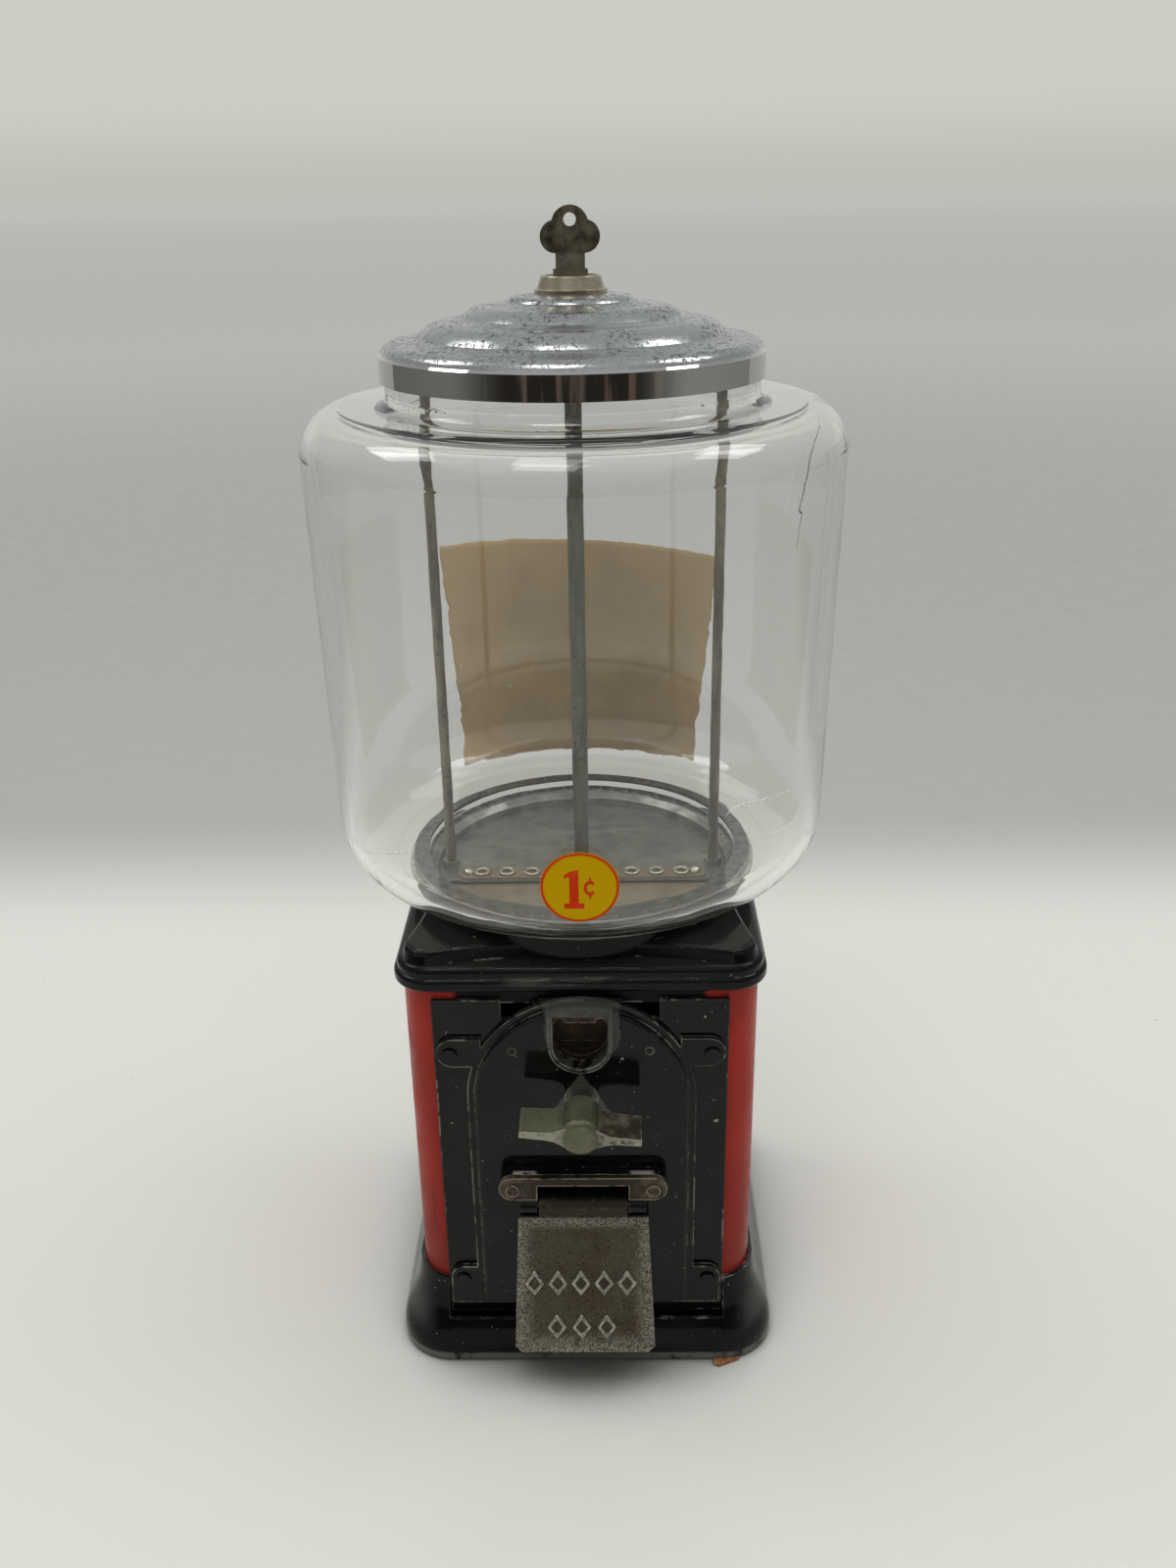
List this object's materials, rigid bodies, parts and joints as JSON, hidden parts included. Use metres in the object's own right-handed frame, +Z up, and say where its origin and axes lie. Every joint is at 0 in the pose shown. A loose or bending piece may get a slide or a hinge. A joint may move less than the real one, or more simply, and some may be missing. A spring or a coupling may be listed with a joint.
{
  "type": "gumball machine",
  "caption": "Coin gumball machine: a glass globe with a stepped lid and lock on a square cabinet, with a wing handle, a coin slot and a swinging chute door.",
  "frame": {"origin": "centre of the base pad's underside, on the centre rod's axis", "axes": "+Z up along the centre rod, front towards -Y, +X to the right as seen from the front"},
  "size_m": [0.1898, 0.1922, 0.4281],
  "materials": {
    "felt": "worn brown felt and leather",
    "black_paint": "glossy black enamel, chipped at its edges",
    "red_paint": "gloss red enamel, scratched",
    "steel": "dull mild steel",
    "rusty_steel": "steel with brown rust",
    "zinc_casting": "pitted zinc casting with rust specks",
    "handle_metal": "tarnished, worn casting",
    "zinc_plate": "mottled zinc plate",
    "brass": "dull brass",
    "gear_metal": "cast and machined gear metal",
    "putty": "grey sealing ring",
    "glass": "clear glass with fine cracks",
    "paper_yellow": "yellow paper with a printed price",
    "paper_tan": "aged tan paper",
    "chrome": "pitted chrome plate",
    "nickel": "worn nickel plate",
    "key_metal": "dark tarnished key stock"
  },
  "bodies": {
    "cabinet": {"base_pad": "felt", "base_pan": "black_paint", "bottom_plate": "steel", "body_shell": "red_paint", "front_plate": "black_paint", "arch_plate": "black_paint", "arch_rivets": "black_paint", "coin_guard": "rusty_steel", "coin_backstop": "rusty_steel", "hinge_boss": "black_paint", "hinge_bar": "rusty_steel", "hinge_rivets": "rusty_steel", "hinge_pin": "steel", "front_bush": "brass", "rear_bush": "brass", "mechanism_frame": "steel", "spacer_posts": "steel", "pawl_pin": "steel", "pawl_spring": "steel", "wheel_collar": "brass", "rod_bracket": "steel", "centre_rod": "steel", "centre_rod_nuts": "steel", "rod_cross_pin": "steel", "left_tie_rod": "steel", "right_tie_rod": "steel", "tie_rod_nuts": "steel", "neck_bridge": "steel", "top_cap": "black_paint", "hopper_bowl": "zinc_plate", "strike_plate": "zinc_plate", "strike_strip": "zinc_plate", "strike_rivets": "zinc_plate", "drop_tube": "zinc_plate", "gum_chute": "zinc_plate", "globe_gasket": "putty", "globe": "glass", "price_sticker": "paper_yellow", "back_label": "paper_tan", "lid_gasket": "putty"},
    "crank": {"handle": "handle_metal", "handle_screw": "steel", "handle_shaft": "steel", "coin_wheel": "rusty_steel", "ratchet_wheel": "gear_metal", "drive_pinion": "gear_metal"},
    "gum_wheel": {"merchandise_wheel": "gear_metal", "wheel_sleeve": "gear_metal", "crown_gear": "gear_metal"},
    "pawl": {"pawl": "gear_metal"},
    "door": {"chute_door": "zinc_casting"},
    "lid": {"lid": "chrome", "lock_body": "nickel", "lock_nut": "steel"},
    "lock": {"lock_plug": "nickel", "lock_tail": "steel"},
    "key": {"key": "key_metal"}
  },
  "joints": [
    {"name": "handle_turn", "type": "hinge", "parent": "cabinet", "child": "crank", "pos_m": [0, -0.06, 0.1264], "axis": [0, 1, 0], "continuous": true},
    {"name": "gum_wheel_turn", "type": "hinge", "parent": "cabinet", "child": "gum_wheel", "pos_m": [0, 0, 0.15], "axis": [0, 0, 1], "continuous": true},
    {"name": "pawl_lift", "type": "hinge", "parent": "cabinet", "child": "pawl", "pos_m": [-0.017, -0.0565, 0.1524], "axis": [0, -1, 0], "range_deg": [0, 12], "stiffness_Nm_per_rad": 0.01},
    {"name": "door_swing", "type": "hinge", "parent": "cabinet", "child": "door", "pos_m": [0, -0.0763, 0.0802], "axis": [-1, 0, 0], "range_deg": [0, 70]},
    {"name": "lid_lift", "type": "slide", "parent": "cabinet", "child": "lid", "axis": [0, 0, 1], "range_m": [0, 0.12]},
    {"name": "lock_turn", "type": "hinge", "parent": "lid", "child": "lock", "pos_m": [0, 0, 0.4], "axis": [0, 0, -1], "range_deg": [0, 90]},
    {"name": "key_draw", "type": "slide", "parent": "lock", "child": "key", "axis": [0, 0, 1], "range_m": [0, 0.02]}
  ],
  "couplings": [
    {"joint": "gum_wheel_turn", "follows": "handle_turn", "ratio": 0.25}
  ]
}
